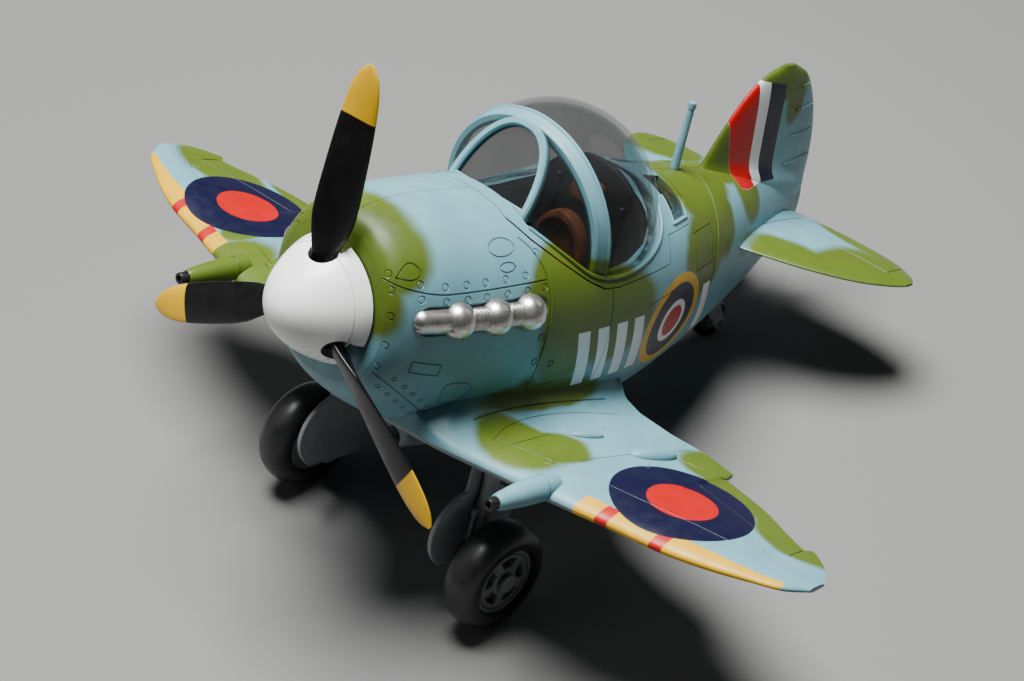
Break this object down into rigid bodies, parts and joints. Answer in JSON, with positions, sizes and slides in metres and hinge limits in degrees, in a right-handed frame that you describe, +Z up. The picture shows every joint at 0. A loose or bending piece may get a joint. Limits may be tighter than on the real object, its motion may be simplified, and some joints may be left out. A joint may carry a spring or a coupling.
{
  "type": "propeller plane model",
  "caption": "Egg-shaped caricature model of a low-wing propeller fighter on its wheels, with a spinning propeller, turning wheels and a clear bubble canopy that lifts off.",
  "frame": {"origin": "ground level, under the middle of the model's bounding box", "axes": "+Z up, nose towards -Y, port (the pilot's left) wing along +X"},
  "size_m": [0.118, 0.0965, 0.0742],
  "materials": {
    "camouflage": "satin olive green and sky blue camouflage paint over moulded plastic",
    "underside_grey": "satin grey paint",
    "gear_grey": "satin grey paint",
    "exhaust_silver": "fine silver paint",
    "gun_black": "satin black",
    "sky_blue": "satin sky blue paint",
    "cockpit_black": "matt black",
    "seat_brown": "satin leather brown paint",
    "clear_plastic": "clear, lightly smoked, polished",
    "spinner_white": "satin white",
    "blade_black": "satin black with yellow tips",
    "steel_pin": "plain drawn pin",
    "bush_nylon": "natural nylon",
    "tyre_black": "soft black vinyl, satin",
    "wheel_hub": "satin dark grey"
  },
  "bodies": {
    "airframe": {"fuselage_left": "camouflage", "fuselage_right": "camouflage", "wing_top_left": "camouflage", "wing_top_right": "camouflage", "wing_bottom_left": "underside_grey", "wing_bottom_right": "underside_grey", "tailplane_left": "camouflage", "tailplane_right": "camouflage", "carburettor_intake": "underside_grey", "antenna_mast": "sky_blue", "exhaust_left": "exhaust_silver", "exhaust_right": "exhaust_silver", "cannon_fairing_left": "sky_blue", "cannon_fairing_right": "sky_blue", "cannon_left": "gun_black", "cannon_right": "gun_black", "nose_bulkhead": "cockpit_black", "shaft_bush": "bush_nylon", "cockpit_tub": "cockpit_black", "cockpit_bulkhead": "cockpit_black", "instrument_panel": "cockpit_black", "gunsight": "cockpit_black", "control_stick": "cockpit_black", "seat": "seat_brown", "seat_cushion": "seat_brown", "headrest": "seat_brown", "gear_leg_left": "gear_grey", "gear_leg_right": "gear_grey", "gear_door_left": "gear_grey", "gear_door_right": "gear_grey", "axle_left": "steel_pin", "axle_right": "steel_pin", "tail_wheel_fork": "gear_grey", "tail_wheel_axle": "steel_pin"},
    "propeller": {"propeller_shaft": "steel_pin", "shaft_collar": "blade_black", "propeller_hub": "blade_black", "spinner": "spinner_white", "spinner_backplate": "spinner_white", "blade_1": "blade_black", "blade_2": "blade_black", "blade_3": "blade_black"},
    "canopy": {"canopy_rail": "camouflage", "windscreen_frame": "sky_blue", "windscreen_glass": "clear_plastic", "canopy_hoop": "sky_blue", "canopy_bubble": "clear_plastic", "quarter_window_left": "clear_plastic", "quarter_window_right": "clear_plastic"},
    "wheel_left": {"tyre_left": "tyre_black", "hub_left": "wheel_hub"},
    "wheel_right": {"tyre_right": "tyre_black", "hub_right": "wheel_hub"},
    "tail_wheel": {"tail_wheel_tyre": "tyre_black", "tail_wheel_hub": "wheel_hub"}
  },
  "joints": [
    {"name": "propeller_spin", "type": "hinge", "parent": "airframe", "child": "propeller", "pos_m": [0, -0.0425, 0.04633], "axis": [0, 0.9426, -0.3338], "continuous": true},
    {"name": "wheel_left_spin", "type": "hinge", "parent": "airframe", "child": "wheel_left", "pos_m": [0.018, -0.03203, 0.0073], "axis": [1, 0, 0], "continuous": true},
    {"name": "wheel_right_spin", "type": "hinge", "parent": "airframe", "child": "wheel_right", "pos_m": [-0.018, -0.03203, 0.0073], "axis": [1, 0, 0], "continuous": true},
    {"name": "tail_wheel_spin", "type": "hinge", "parent": "airframe", "child": "tail_wheel", "pos_m": [0, 0.02808, 0.003], "axis": [1, 0, 0], "continuous": true},
    {"name": "canopy_lift", "type": "slide", "parent": "airframe", "child": "canopy", "axis": [0, 0.3338, 0.9426], "range_m": [0, 0.03]}
  ]
}
